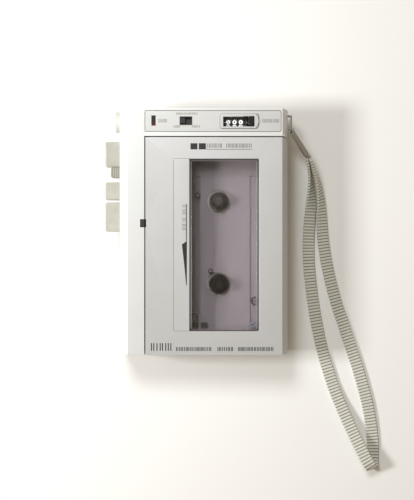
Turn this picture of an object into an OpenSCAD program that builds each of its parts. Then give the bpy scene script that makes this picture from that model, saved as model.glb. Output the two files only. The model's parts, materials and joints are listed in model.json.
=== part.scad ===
// Portable compact-cassette recorder, lying face up, with its wrist strap.
// Origin: centre of the rear face. +X right, +Y towards the control band, +Z out of the face.

/* [Case] */
// Width of the case
body_w = 86; // [85:0.5:88]
// Length of the case
body_l = 125; // [124:0.5:128]
// Thickness of the case
body_t = 32; // [31.6:0.2:33]
// Wall thickness of both shells
wall = 2; // [1.8:0.1:2.2]
// Height of the parting line between the two shells
split_z = 12; // [11:0.5:12.5]
// Width of the sloped facet along the left edge
left_facet_w = 4.1; // [3:0.1:5]
// Depth of the sloped facet along the left edge
left_facet_d = 4.4; // [4:0.1:5]
// Width of the sloped facet along the right edge
right_facet_w = 3.25; // [3:0.05:4]
// Depth of the sloped facet along the right edge
right_facet_d = 9.8; // [9:0.1:10]

/* [Door] */
// Left edge of the cassette door
door_x = -29.9; // [-31:0.1:-29.9]
// Upper edge of the cassette door
door_y = 48.1; // [47.5:0.1:48.2]
// Gap between the door and the case
seam = 0.3; // [0.25:0.05:0.4]
// Radius of the hinge barrel
barrel_r = 1; // [0.9:0.05:1]
// Radius of the hinge pin
hinge_pin_r = 0.5; // [0.4:0.05:0.55]

/* [Tape deck] */
// Distance between the two reel spindles
reel_pitch = 42.5; // [42.4:0.1:42.6]
// Radius of the round flange under each spindle
flange_r = 5.2; // [5:0.1:5.4]
// Radius of the capstan
capstan_r = 1; // [0.8:0.1:1.2]
// Radius of the flywheel
flywheel_r = 13; // [12:0.5:13]
// Radius of the pinch roller
pinch_r = 4.5; // [4:0.1:4.5]

/* [Controls] */
// How far the long keys stand out of the left side
key_out = 7.5; // [6:0.5:8]
// How far the short record key stands out
record_out = 4.7; // [4.2:0.1:5]
// Radius of the volume knob
knob_r = 5.4; // [5:0.1:5.6]
// How far the volume knob stands out
knob_out = 2.4; // [2:0.1:3]

/* [Batteries] */
// Diameter of one AA cell
cell_d = 14.2; // [13.8:0.1:14.3]
// Length of one AA cell
cell_l = 50.3; // [49.5:0.1:50.5]

/* [Wrist strap] */
// Width of the strap webbing
strap_w = 6.2; // [5:0.2:7]
// Thickness of the strap webbing
strap_t = 1.6; // [1.2:0.1:1.8]

/* [Hidden] */
$fn = 48;
far = 200;
hw = body_w / 2;
hl = body_l / 2;
steel = "silver";
dark = "#26241f";
satin = "#d9dad8";

// Door hinge, low on the right-hand side
hinge_x = hw - barrel_r;
hinge_z = body_t - right_facet_d - 0.8;
side_top = hinge_z - barrel_r - 0.6;
end_top = 26.6;
lug_l = 2.7;
barrel_lo = -hl + lug_l + seam;
barrel_hi = door_y - 0.2;
band_y = door_y + seam;
door_skin = 1.6;

// Window in the door: opening, lens and the printed strip beside it
window_x = [-15.4, 27.9];
window_y = [-50.4, 36.9];
lens_x = [-7.3, 27.6];
lens_t = 1.6;

// Control band
plate_x = [-29.7, 39];
plate_y = [50.7, 61.1];
plate_t = 0.8;
bezel_x = [8.2, 27.6];
bezel_y = [52.3, 59.5];
drum_r = 3.6;
drum_w = 3;
drum_pitch = 3.2;
drum_x = 10.8;
drum_y = 55.5;
drum_z = body_t - 1.6 - drum_r;
reset_x = [22.5, 25.1];
reset_y = [52.9, 58.2];
light_x = [-26.6, -24.4];
light_y = [53.6, 58.8];
switch_x = [-12.3, -5.9];
switch_y = [53.9, 58.3];

// Tape deck
deck_z = 16.2;
deck_t = 1.2;
deck_top = deck_z + deck_t;
spindle_x = 7.8;
supply_y = 15.7;
takeup_y = supply_y - reel_pitch;
capstan = [-21, -35.5];
motor_at = [-24, 5];
motor_r = 10.5;
hub_r = 2.2;
takeup_wheel_r = 5.2;
reel_gap = [spindle_x - capstan.x, takeup_y - capstan.y];
idler_r = (norm(reel_gap) - hub_r - takeup_wheel_r - 0.6) / 2;
idler_at = capstan + reel_gap / norm(reel_gap) * (hub_r + idler_r + 0.3);
worm_at = [23.6, 57.4];
pinch_pivot = [-33, -45];
roller_at = [-27.5, -35.5];
tape_mid_y = supply_y - reel_pitch / 2;
head_lo_x = -34.4;

// Keys, from the control band downwards: [lower Y, upper Y]
fast_wind_y = [33.2, 46];
record_y = [27.7, 33];
play_y = [16.3, 25.3];
stop_y = [0, 15.1];
key_z = [18.4, 26.2];
key_in = -39;
knob_y = 56.4;
knob_z = 19.6;

// Screw posts and the holes that match them: [X, Y]
case_posts = [[-38.8, -58.4], [5.5, -58.4], [-18.5, 58.4], [37.5, 58.4]];
post_r = 2.4;
post_top = deck_top + 3;
deck_screw_at = [[-33, -53], [26.5, -35.6], [-28, 44.5], [36.8, 44.6], [-5.2, -44]];
jack_x = [-2.5, -11];
jack_z = 19;
power_at = [-14, 7];
speaker_at = [15, 29];
cell_z = 9;
cell_x = [18.4, 33];
cell_y = -55.2;

// Strap route along the middle of the webbing:
// [X, Y, Z, heading of its width, tilt of its width from level]
strap_route = [
    [53.6, 39.8, 11.8, 200, 82], [54.9, 35, 9.4, 198, 78], [56, 30, 7.4, 192, 70], [56.6, 25, 5.7, 185, 60],
    [56.8, 20, 4.2, 180, 46], [56.6, 14, 2.9, 176, 30], [56.1, 7, 1.9, 175, 16], [55.7, 0, 1.2, 177, 6],
    [55.5, -8, 0.9, 180, 0], [55.8, -18, 0.9, 184, 0], [56.8, -28, 0.9, 187, 0], [58.1, -38, 0.9, 189, 0],
    [59.8, -48, 0.9, 191, 0], [62.3, -60, 0.9, 193, 0], [65.5, -72, 0.9, 196, 0], [69.5, -84, 1.1, 199, 0],
    [74, -95, 2.2, 203, 0], [78.4, -105, 4.2, 206, 0], [82.2, -113, 6.3, 208, 0],
    [84.8, -118.4, 7.6, 208, 0], [86.8, -122, 8, 206, 0], [88.1, -123.8, 7, 203, 0],
    [88.8, -124.4, 5, 199, 0], [89.2, -123.8, 3, 194, 0],
    [89.5, -121.8, 1.5, 189, 0], [89.7, -118, 0.9, 184, 0], [89.6, -111, 0.9, 184, 0],
    [88.7, -102, 0.9, 189, 0],
    [87, -92, 0.9, 194, 0], [84.5, -82, 0.9, 197, 0], [81.3, -71, 0.9, 198, 0], [77.7, -60, 0.9, 199, 0],
    [73.9, -48, 0.9, 199, 0], [70.5, -38, 0.9, 198, 0], [67.8, -28, 0.9, 196, 0], [65.5, -18, 0.9, 193, 0],
    [63.8, -8, 1.1, 188, 5], [62.9, 0, 1.6, 184, 15], [62.5, 8, 2.4, 182, 30], [62.1, 15, 3.5, 184, 48],
    [61.3, 21.5, 4.9, 190, 62], [59.8, 28, 6.8, 197, 72], [57.6, 34, 9.2, 203, 78], [55.3, 39, 11.8, 206, 82]
];
ferrule_from = [45.2, 52.4, 19.6];
ferrule_to = [53.9, 40.4, 12];
ferrule_r = 1.8;
bail_r = 0.6;
bail_y = [53, 59.8];
bail_x = 44.9;
bail_z = 19.6;

// ---- Helpers ----

module block(lo, hi) {
    translate(lo) cube(hi - lo);
}

module rod_x(y, z, x0, x1, r) {
    translate([x0, y, z]) rotate([0, 90, 0]) cylinder(h = x1 - x0, r = r);
}

module rod_y(x, z, y0, y1, r) {
    translate([x, y1, z]) rotate([90, 0, 0]) cylinder(h = y1 - y0, r = r);
}

module rod_z(at, z0, z1, r) {
    translate([at.x, at.y, z0]) cylinder(h = z1 - z0, r = r);
}

// A section drawn in X and Z, run along Y
module along_y(y0, y1) {
    translate([0, y1, 0]) rotate([90, 0, 0]) linear_extrude(y1 - y0) children();
}

// Corner points of a rectangle with rounded corners
function rounded(lo, hi, r, n = 4) = [
    for (c = [
            [hi.x - r, hi.y - r, 0], [lo.x + r, hi.y - r, 90],
            [lo.x + r, lo.y + r, 180], [hi.x - r, lo.y + r, 270]
        ])
        for (i = [0:n])
            [c.x + r * cos(c.z + 90 * i / n), c.y + r * sin(c.z + 90 * i / n)]
];

// A flat plate with rounded corners between two heights
module plate(lo, hi, z0, z1, r = 0.5) {
    translate([0, 0, z0]) linear_extrude(z1 - z0) polygon(rounded(lo, hi, r));
}

// The case's cross-section, moved inwards by d, open below z
right_run = right_facet_w / right_facet_d;
right_len = sqrt(1 + right_run * right_run);
left_run = left_facet_w / left_facet_d;
left_len = sqrt(1 + left_run * left_run);
function case_outline(d, z) = [
    [-hw + d, z],
    [hw - d, z],
    [hw - d, body_t - (right_facet_w + d * (right_len - 1)) / right_run],
    [hw - right_facet_w + right_run * d - right_len * d, body_t - d],
    [-hw + left_facet_w - left_run * d + left_len * d, body_t - d],
    [-hw + d, body_t - (left_facet_w + d * (left_len - 1)) / left_run]
];

// X of the right facet's inner surface at a height, for a skin of thickness d
function facet_x(z, d) = hw - right_facet_w + right_run * (body_t - z) - right_len * d;

// The outer block of the case above a height
module case_block(z) {
    intersection() {
        along_y(-hl, hl) polygon(case_outline(0, z));
        plate([-hw, -hl], [hw, hl], z - 1, body_t + 1, 1);
    }
}

// Outline of a belt round two wheels: [centre, radius] each
function belt_points(a, ra, b, rb, n = 20) =
    let (
        span = b - a,
        angle = atan2(span.y, span.x),
        lean = acos((ra - rb) / norm(span)),
        turn_a = [for (i = [0:n]) angle + lean + (360 - 2 * lean) * i / n],
        turn_b = [for (i = [0:n]) angle - lean + 2 * lean * i / n]
    ) concat(
        [for (t = turn_a) a + ra * [cos(t), sin(t)]],
        [for (t = turn_b) b + rb * [cos(t), sin(t)]]
    );

module belt(a, ra, b, rb, z0, z1, t) {
    translate([0, 0, z0]) linear_extrude(z1 - z0) difference() {
        polygon(belt_points(a, ra + t, b, rb + t));
        polygon(belt_points(a, ra, b, rb));
    }
}

// ---- Case ----

module front_housing() {
    color(satin) difference() {
        union() {
            difference() {
                case_block(split_z);
                along_y(-hl + wall, hl - wall) polygon(case_outline(wall, split_z - 1));
                // the door's place in the face, the right side and the lower end
                block([door_x - seam, -far, end_top], [far, band_y, far]);
                block([hw - right_facet_w - 0.6, -far, side_top], [far, band_y, far]);
            }
            // wall under the door's upper edge
            block([-hw + wall, band_y, split_z + 10], [hw - wall, band_y + 1.4, body_t - wall]);
            // flange under the door's left edge
            block([door_x - 3.4, -hl + wall - 0.5, 28.2], [door_x - 2.4, band_y + 0.5, body_t - wall + 0.5]);
            // hinge lug at the lower end
            rod_y(hinge_x, hinge_z, -hl, -hl + lug_l, barrel_r);
            block([hinge_x - 2, -hl, side_top - 1], [hw, -hl + lug_l, hinge_z - 0.2]);
            for (p = case_posts) rod_z(p, split_z + 0.3, p.y > 0 ? body_t - 1 : post_top, post_r);
        }
        for (p = case_posts) rod_z(p, split_z, split_z + 10, 0.82);
        // hinge pin holes
        rod_y(hinge_x, hinge_z, -hl + 0.3, -hl + lug_l + 1, hinge_pin_r);
        rod_y(hinge_x, hinge_z, band_y - 1, band_y + 1.9, hinge_pin_r);
        // recess for the control plate and the holes below it
        plate(
            [plate_x[0] - 0.25, plate_y[0] - 0.25], [plate_x[1] + 0.25, plate_y[1] + 0.25],
            body_t - plate_t, far, 0.8
        );
        block([bezel_x[0] + 0.4, bezel_y[0] + 0.4, body_t - 5], [bezel_x[1] - 0.6, bezel_y[1] - 0.4, far]);
        block([light_x[0], light_y[0], body_t - 5], [light_x[1], light_y[1], far]);
        block([switch_x[0], switch_y[0], body_t - 5], [switch_x[1], switch_y[1], far]);
        // latch slot in the left strip
        block([door_x - 2.4, 2.2, 20], [door_x, 6.3, far]);
        // key openings and the volume knob's slot in the left side
        for (k = [[record_y[0], fast_wind_y[1]], play_y, stop_y])
            block([-far, k[0] - 0.3, key_z[0] - 0.3], [-hw + wall + 0.5, k[1] + 0.3, key_z[1] + 0.3]);
        rod_x(knob_y, knob_z, -hw - 1, -hw + wall + 1, knob_r + 0.3);
        // sockets and sound holes in the upper end
        for (x = jack_x) rod_y(x, jack_z, hl - wall - 1, hl + 1, 2.95);
        for (a = [0:60:300])
            rod_y(30 + 1.8 * cos(a), 22 + 1.8 * sin(a), hl - wall - 1, hl + 1, 0.5);
        // holes for the ends of the strap's wire bail
        for (y = bail_y) rod_x(y, bail_z, hw - wall - 1, hw + 1, bail_r);
    }
}

module rear_housing() {
    color("#b9b8b2") difference() {
        union() {
            difference() {
                plate([-hw, -hl], [hw, hl], 0, split_z - 0.1, 1);
                block([-hw + wall, -hl + wall, wall], [hw - wall, hl - wall, split_z]);
            }
            // lip that locates the front shell
            difference() {
                block(
                    [-hw + wall - 0.8, -hl + wall - 0.8, split_z - 2],
                    [hw - wall + 0.8, hl - wall + 0.8, split_z]
                );
                block([-hw + wall + 0.2, -hl + wall + 0.2, 1], [hw - wall - 0.2, hl - wall - 0.2, far]);
            }
            // ribs round the battery bay
            block([9.2, -hl + 1, 1], [10.2, -3.2, split_z]);
            block([9.2, -4.2, 1], [hw - 1, -3.2, split_z]);
            for (p = case_posts) rod_z(p, 1, split_z + 0.2, post_r);
        }
        for (p = case_posts) {
            rod_z(p, -1, far, 1.2);
            rod_z(p, -1, 2.6, 2.3);
        }
        // battery bay opening with the grooves that hold the cover
        block([11.2, -far, -1], [40.4, -5.2, 1.9]);
        block([11.2, -hl + wall + 1, -1], [40.4, -5.2, wall + 1]);
        block([10.4, -far, 0.6], [41.2, -5.2, 1.9]);
        // speaker grille
        for (ring = [0:3]) for (i = [0:max(0, ring * 6 - 1)])
            let (turn = 60 * i / max(1, ring))
                rod_z(speaker_at + 3.6 * ring * [cos(turn), sin(turn)], -1, 3, 0.9);
        // power socket in the lower end
        rod_y(power_at.x, power_at.y, -hl - 1, -hl + wall + 1, 3.6);
    }
}

module case_screws() {
    color(steel) for (p = case_posts) difference() {
        union() {
            rod_z(p, 0.9, 2.5, 2.1);
            rod_z(p, 2.4, 19.5, 0.8);
        }
        block([p.x - 1.5, p.y - 0.25, 0], [p.x + 1.5, p.y + 0.25, 1.5]);
        block([p.x - 0.25, p.y - 1.5, 0], [p.x + 0.25, p.y + 1.5, 1.5]);
    }
}

module control_plate() {
    color("#c9cac8") difference() {
        plate([plate_x[0], plate_y[0]], [plate_x[1], plate_y[1]], body_t - plate_t + 0.05, body_t, 0.6);
        block([bezel_x[0] + 0.6, bezel_y[0] + 0.6, 0], [bezel_x[1] - 0.8, bezel_y[1] - 0.6, far]);
        block([light_x[0], light_y[0], 0], [light_x[1], light_y[1], far]);
        block([switch_x[0], switch_y[0], 0], [switch_x[1], switch_y[1], far]);
    }
}

module counter_bezel() {
    window = [[bezel_x[0] + 1.5, bezel_y[0] + 0.8], [bezel_x[1] - 2.3, bezel_y[1] - 1.4]];
    color(satin) difference() {
        union() {
            plate([bezel_x[0], bezel_y[0]], [bezel_x[1] - 1, bezel_y[1]], body_t + 0.03, body_t + 0.8, 0.8);
            intersection() {
                rod_z([bezel_x[1] - 4.6, (bezel_y[0] + bezel_y[1]) / 2], body_t + 0.03, body_t + 0.8, 4.6);
                block([bezel_x[1] - 3, bezel_y[0], 0], [far, bezel_y[1], far]);
            }
            block(
                [bezel_x[0] + 0.7, bezel_y[0] + 0.7, body_t - 2],
                [bezel_x[1] - 0.9, bezel_y[1] - 0.7, body_t + 0.4]
            );
        }
        block([window[0].x, window[0].y, 0], [window[1].x, window[1].y, far]);
        block([window[1].x - 5, window[0].y, 0], [window[1].x + 0.2, reset_y[1] + 0.2, far]);
    }
}

module counter_glass() {
    color("#303034", 0.5)
        block(
            [bezel_x[0] + 1.55, bezel_y[0] + 0.85, body_t - 0.3],
            [reset_x[0] - 0.7, bezel_y[1] - 1.45, body_t + 0.4]
        );
}

// ---- Door ----

module door_shell() {
    color(satin) difference() {
        union() {
            difference() {
                intersection() {
                    case_block(split_z);
                    block([door_x, -hl, hinge_z + 1.3], [far, door_y, far]);
                }
                // hollow under the skin, open below the lower end wall
                intersection() {
                    along_y(-hl + door_skin, door_y - 1) polygon(case_outline(door_skin, 0));
                    block([door_x + 1.2, -hl, 0], [far, door_y, far]);
                }
                block([door_x - 1, -far, 0], [door_x + 2, far, 28.6]);
                block([-far, -far, 0], [facet_x(end_top + 0.2, door_skin), far, end_top + 0.3]);
                block([-far, door_y - 1.2, 0], [facet_x(28.6, door_skin) - 0.2, far, 28.6]);
            }
            // hinge barrel and its web
            rod_y(hinge_x, hinge_z, barrel_lo, barrel_hi, barrel_r);
            block([hinge_x - 0.8, barrel_lo, hinge_z], [hw - 0.35, barrel_hi, hinge_z + 1.6]);
        }
        rod_y(hinge_x, hinge_z, barrel_lo - 1, barrel_hi + 1, hinge_pin_r + 0.06);
        // window opening with a ledge for the lens
        plate([window_x[0], window_y[0]], [window_x[1], window_y[1]], body_t - lens_t, far, 0.6);
        plate([lens_x[0] + 0.6, window_y[0] + 0.8], [window_x[1] - 0.9, window_y[1] - 0.8], 0, far, 1.4);
        // notch beside the latch
        block([door_x - 1, 2.2, 0], [door_x + 0.4, 6.3, far]);
    }
}

module window_lens() {
    color("#b9a9b4", 0.35) union() {
        plate(
            [lens_x[0], window_y[0] + 0.1], [lens_x[1], window_y[1] - 0.1],
            body_t - lens_t + 0.05, body_t - 0.3, 0.6
        );
        plate(
            [lens_x[0] + 1, window_y[0] + 1.1], [lens_x[1] - 1, window_y[1] - 1.1],
            body_t - 0.4, body_t, 0.5
        );
    }
}

module window_side_strip() {
    color(satin)
        plate(
            [window_x[0] + 0.1, window_y[0] + 0.1], [lens_x[0] - 0.1, window_y[1] - 0.1],
            body_t - lens_t + 0.05, body_t + 0.1, 0.4
        );
}

// Two rails under the door that hold a cassette by its ends
module cassette_guides() {
    low = -57.4;
    high = 46.4;
    color(dark) for (side = [[low, low + 1.4, low + 3.2], [high, high - 1.4, high - 3.2]]) {
        outer = min(side[0], side[1]);
        inner = max(side[0], side[1]);
        lip_lo = min(side[0], side[2]);
        lip_hi = max(side[0], side[2]);
        difference() {
            union() {
                block([-18, outer, 18.7], [33, inner, body_t - door_skin]);
                block([-18, lip_lo, 17.9], [33, lip_hi, 18.8]);
            }
            block([-19, outer - 1, 21], [-12, inner + 1, 26]);
            // notch round the case post at the lower end
            rod_z(case_posts[1], 0, post_top + 0.4, post_r + 0.4);
        }
    }
}

module hinge_pin() {
    color(steel) rod_y(hinge_x, hinge_z, -hl + 0.3, band_y + 1.9, hinge_pin_r);
}

module door_latch() {
    color(dark) union() {
        block([door_x - 2.1, 2.5, 27], [door_x - 0.2, 6, body_t + 0.05]);
        block([door_x - 2.1, 3.2, 22.5], [door_x - 1, 5.3, 27.2]);
    }
}

// ---- Control band ----

module battery_light() {
    color("#7a1512")
        block(
            [light_x[0] + 0.05, light_y[0] + 0.05, body_t - 4],
            [light_x[1] - 0.05, light_y[1] - 0.05, body_t - 0.1]
        );
}

module switch_body() {
    color(dark) difference() {
        block(
            [switch_x[0] + 0.05, switch_y[0] + 0.05, body_t - 5.5],
            [switch_x[1] - 0.05, switch_y[1] - 0.05, body_t - 0.3]
        );
        block(
            [switch_x[0] + 0.4, switch_y[0] + 0.5, body_t - 2.2],
            [switch_x[1] - 0.4, switch_y[1] - 0.5, far]
        );
    }
}

module tone_switch_knob() {
    lo = [switch_x[0] + 0.6, switch_y[0] + 0.8];
    color("#1c1b19") union() {
        block([lo.x, lo.y, body_t - 1.9], [lo.x + 2.2, switch_y[1] - 0.8, body_t + 0.3]);
        for (i = [0:2])
            translate([lo.x + 0.15 + 0.75 * i, 0, 0])
                block([0, lo.y + 0.2, body_t + 0.2], [0.4, switch_y[1] - 1, body_t + 0.7]);
    }
}

module counter_frame() {
    y0 = drum_y - drum_r - 0.4;
    color(dark) difference() {
        block(
            [drum_x - 1.7, y0 - 0.6, drum_z - drum_r - 1.4],
            [drum_x + 10.9, y0 + 2 * drum_r + 1.4, drum_z + 1]
        );
        block([drum_x - 0.7, y0, drum_z - drum_r - 0.4], [drum_x + 9.9, y0 + 2 * drum_r + 0.8, far]);
        rod_x(drum_y, drum_z, drum_x - 3, drum_x + 14, 0.62);
    }
}

module counter_shaft() {
    color(steel) rod_x(drum_y, drum_z, drum_x - 1.6, drum_x + 11.4, 0.6);
}

module counter_drum(place) {
    x = drum_x + drum_pitch * place;
    color("#141414") difference() {
        rod_x(drum_y, drum_z, x, x + drum_w, drum_r);
        rod_x(drum_y, drum_z, x - 1, x + drum_w + 1, 0.65);
        // ten shallow notches between the figures
        for (i = [0:9]) rotate_about_shaft(36 * i + 18)
            block([x - 1, drum_y - 0.12, drum_z + drum_r - 0.15], [x + 0.4, drum_y + 0.12, far]);
    }
}

module rotate_about_shaft(angle) {
    translate([0, drum_y, drum_z]) rotate([angle, 0, 0]) translate([0, -drum_y, -drum_z]) children();
}

module counter_drum_hundreds() {
    counter_drum(0);
}

module counter_drum_tens() {
    counter_drum(1);
}

module counter_drum_ones() {
    counter_drum(2);
}

module counter_reset_button() {
    color("#1c1b19") union() {
        plate(
            [reset_x[0], reset_y[0] + 0.4], [reset_x[1] - 0.1, reset_y[1] - 0.3],
            body_t - 2.5, body_t + 1.5, 0.4
        );
        block(
            [reset_x[0] + 0.5, reset_y[0] + 1.6, body_t - 4],
            [reset_x[1] - 0.6, reset_y[1] - 1.6, body_t - 2.4]
        );
    }
}

module counter_worm() {
    color("#e8e4d8") union() {
        rod_z(worm_at, 13.3, 14.1, 3);
        rod_z(worm_at, 14, 15, 2.2);
        rod_z(worm_at, 14.9, 15.7, 3);
        rod_z(worm_at, 15.6, 25.8, 0.7);
        for (i = [0:4]) rod_z(worm_at, 20 + 1.1 * i, 20.5 + 1.1 * i, 1.1);
    }
}

module counter_belt() {
    color(dark) belt([spindle_x, supply_y], 3.4, worm_at, 2.5, 14.3, 14.7, 0.4);
}

// ---- Tape deck ----

module deck_plate() {
    color("#a9a7a1") difference() {
        block([-40.4, -59.9, deck_z], [40.4, 47.6, deck_top]);
        for (y = [supply_y, takeup_y]) rod_z([spindle_x, y], 0, far, 2.4);
        rod_z(capstan, 0, far, 3.2);
        for (p = case_posts) rod_z(p, 0, far, post_r + 0.4);
        block([-far, -far, 0], [case_posts[0].x + post_r + 0.4, case_posts[0].y + post_r + 0.4, far]);
        for (p = deck_screw_at) rod_z(p, 0, far, 0.9);
        // slot for the head slide's tongue, and holes to see the motor's screws
        block([-36, -12, 0], [-27.5, 1, far]);
        for (x = [-5, 5]) rod_z(motor_at + [x, 3], 0, far, 0.8);
    }
}

// Moulded floor of the cassette well, in strips of different height
module deck_liner() {
    // low posts that a cassette's holes drop over, and the guide blocks at the lower left
    posts = [[-3.4, 19], [3.4, -20]];
    strips = [[-13.2, -2, 17.7], [-2.1, 5.4, 18.2], [5.3, 23.7, 18.5], [23.6, 34, 18]];
    lo_y = -53;
    hi_y = 41.5;
    color("#8d8088") difference() {
        union() {
            for (s = strips) block([s[0], lo_y, deck_top + 0.05], [s[1], hi_y, s[2]]);
            // raised shelves across the two ends
            block([-13.2, hi_y - 12.6, deck_top + 0.05], [34, hi_y, 18.9]);
            block([-13.2, lo_y, deck_top + 0.05], [34, lo_y + 6, 18.9]);
            // ribs beside the spindles
            block([4.9, lo_y + 4, 18], [5.5, hi_y - 10, 18.9]);
            block([-13.2, lo_y, deck_top + 0.05], [-12.2, hi_y, 20.4]);
            for (p = posts) rod_z(p, deck_top + 0.2, 21.5, 1.1);
            rod_z([25.5, -48.1], deck_top + 0.2, 19.6, 1.9);
            for (x = [-6.7, -1.7]) block([x, -49.4, deck_top + 0.2], [x + 3.6, -46.6, 20]);
        }
        for (y = [supply_y, takeup_y]) rod_z([spindle_x, y], 0, far, 6);
        for (p = deck_screw_at) rod_z(p, 0, far, 2.6);
    }
}

module deck_screws() {
    color(steel) {
        for (p = deck_screw_at) difference() {
            union() {
                rod_z(p, deck_top + 0.02, deck_top + 1.4, 2.3);
                rod_z(p, deck_z - 0.4, deck_top + 0.1, 0.85);
            }
            block([p.x - 1.5, p.y - 0.25, deck_top + 0.8], [p.x + 1.5, p.y + 0.25, far]);
            block([p.x - 0.25, p.y - 1.5, deck_top + 0.8], [p.x + 0.25, p.y + 1.5, far]);
        }
    }
}

module spindle_bushes() {
    color("#b5925a") for (y = [supply_y, takeup_y]) difference() {
        union() {
            rod_z([spindle_x, y], deck_z - 0.3, deck_top + 0.7, 2.38);
            rod_z([spindle_x, y], deck_top + 0.02, deck_top + 0.7, 3.2);
        }
        rod_z([spindle_x, y], 0, far, 1.05);
    }
}

// Splined spindle that turns a cassette reel
module spindle(y) {
    at = [spindle_x, y];
    difference() {
        union() {
            rod_z(at, 18.7, 20, flange_r);
            rod_z(at, 19.8, 25, 3);
            translate([at.x, at.y, 25]) cylinder(h = 1.6, r1 = 3, r2 = 1.8);
            for (a = [0:60:300]) translate([at.x, at.y, 0]) rotate([0, 0, a])
                block([2.4, -0.4, 19.8], [3.7, 0.4, 24.6]);
        }
        rod_z(at, 0, 26, 1);
        // shallow ring groove in the flange
        difference() {
            rod_z(at, 19.7, far, 4.7);
            rod_z(at, 0, far, 4);
            block([at.x - 3.8, at.y - 3.8, 20.2], [at.x + 3.8, at.y + 3.8, far]);
        }
    }
}

module supply_spindle() {
    color("#221f1f") spindle(supply_y);
}

module takeup_spindle() {
    color("#221f1f") spindle(takeup_y);
}

module supply_pulley() {
    at = [spindle_x, supply_y];
    color("#e8e4d8") union() {
        rod_z(at, 13.3, 14.1, 4);
        rod_z(at, 14, 15, 3.1);
        rod_z(at, 14.9, 15.6, 4);
        rod_z(at, 15, 25.8, 0.98);
    }
}

module takeup_wheel() {
    at = [spindle_x, takeup_y];
    color("#e8e4d8") union() {
        rod_z(at, 13.9, 15.6, takeup_wheel_r);
        rod_z(at, 15, 25.8, 0.98);
    }
}

module idler_wheel() {
    color(dark) difference() {
        rod_z(idler_at, 13.9, 15.6, idler_r);
        for (a = [0:72:288]) rod_z(idler_at + 6.8 * [cos(a), sin(a)], 0, far, 2);
        rod_z(idler_at, 15.3, far, 2);
    }
}

module flywheel() {
    color("#c2a95c") difference() {
        union() {
            rod_z(capstan, 10.2, 13.6, flywheel_r);
            rod_z(capstan, 13.5, 15.2, hub_r);
        }
        rod_z(capstan, 0, far, capstan_r);
        // belt groove in the rim
        difference() {
            rod_z(capstan, 11.3, 12.7, far / 2);
            rod_z(capstan, 0, far, flywheel_r - 0.7);
        }
    }
}

module capstan_shaft() {
    color(steel) rod_z(capstan, 8.4, 27.5, capstan_r - 0.02);
}

module capstan_bearing() {
    color("#b5925a") difference() {
        union() {
            // pressed into the deck, with a narrow neck below the pinch roller
            rod_z(capstan, deck_z - 0.5, deck_top + 0.1, 3.15);
            rod_z(capstan, deck_top, deck_top + 1.4, 2.2);
        }
        rod_z(capstan, 0, far, capstan_r + 0.03);
    }
}

module motor() {
    color("#9b9a96") union() {
        rod_z(motor_at, 2.6, 9.8, motor_r);
        rod_z(motor_at, 9.7, 10.2, 3);
        for (a = [0, 180]) translate([motor_at.x, motor_at.y, 0]) rotate([0, 0, a])
            block([5, -1.5, 2.2], [8, 1.5, 3]);
    }
}

module motor_pulley() {
    color("#c2a95c") union() {
        rod_z(motor_at, 10.5, 11.3, 2.6);
        rod_z(motor_at, 11.2, 12.8, 1.5);
        rod_z(motor_at, 12.7, 13.5, 2.6);
    }
}

module drive_belt() {
    color(dark) belt(capstan, flywheel_r - 0.4, motor_at, 1.8, 11.7, 12.3, 0.5);
}

module pinch_arm() {
    color(steel) difference() {
        union() {
            rod_z(pinch_pivot, deck_top + 0.4, deck_top + 1.4, 2.2);
            rod_z(roller_at, deck_top + 0.4, deck_top + 1.4, 2.2);
            translate([pinch_pivot.x, pinch_pivot.y, deck_top + 0.4])
                rotate([0, 0, atan2(roller_at.y - pinch_pivot.y, roller_at.x - pinch_pivot.x)])
                    block([0, -1.6, 0], [norm(roller_at - pinch_pivot), 1.6, 1]);
            rod_z(roller_at, deck_top + 1, 27.6, 0.7);
            rod_z(pinch_pivot, deck_top + 1, deck_top + 3, 1.6);
        }
        rod_z(pinch_pivot, 0, far, 0.9);
    }
}

module pinch_roller() {
    color("#2b2928") difference() {
        rod_z(roller_at, deck_top + 1.8, 27.2, pinch_r);
        rod_z(roller_at, 0, far, 0.76);
    }
}

module head_slide() {
    color(steel) union() {
        difference() {
            block([head_lo_x, -16, deck_top + 0.35], [-27.4, 13.4, deck_top + 1.4]);
            for (y = [-14.2, 11.4]) block([-33, y - 0.8, 0], [-28.6, y + 0.8, far]);
        }
        block([-33.6, -8.5, deck_top - 2.4], [-32.6, -2.5, deck_top + 0.6]);
    }
}

module record_head() {
    color("#c9c7c0") union() {
        block([-34, tape_mid_y - 6, deck_top + 1.42], [-29, tape_mid_y + 6, 27.6]);
        intersection() {
            rod_z([-34, tape_mid_y], deck_top + 2.2, 27, 7);
            block([-29.1, tape_mid_y - 4.6, 0], [-27.2, tape_mid_y + 4.6, far]);
        }
    }
}

module erase_head() {
    color("#38342f")
        block([-33.4, 7, deck_top + 1.42], [-28, 11.6, 26.8]);
}

// ---- Keys and volume control ----

// One key that slides into the left side, with a stop flange behind the wall
module side_key(y, out, ribs = 0) {
    tip = -hw - out;
    difference() {
        union() {
            block([tip + 0.6, y[0], key_z[0]], [key_in, y[1], key_z[1]]);
            block([tip, y[0] + 0.5, key_z[0] + 0.5], [tip + 0.7, y[1] - 0.5, key_z[1] - 0.5]);
        }
        // finger grooves near the tip
        if (ribs > 0) for (i = [0:ribs - 1])
            block([tip + 0.7 + 1.1 * i, y[0] - 1, key_z[1] - 0.4], [tip + 1.15 + 1.1 * i, y[1] + 1, far]);
    }
}

module fast_wind_key() {
    color("#cfcdc0") side_key(fast_wind_y, key_out);
}

module record_key() {
    color("#a9a698") side_key(record_y, record_out, 4);
}

module play_key() {
    color("#cfcdc0") side_key(play_y, key_out);
}

module stop_eject_key() {
    color("#cfcdc0") side_key(stop_y, key_out);
}

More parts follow.
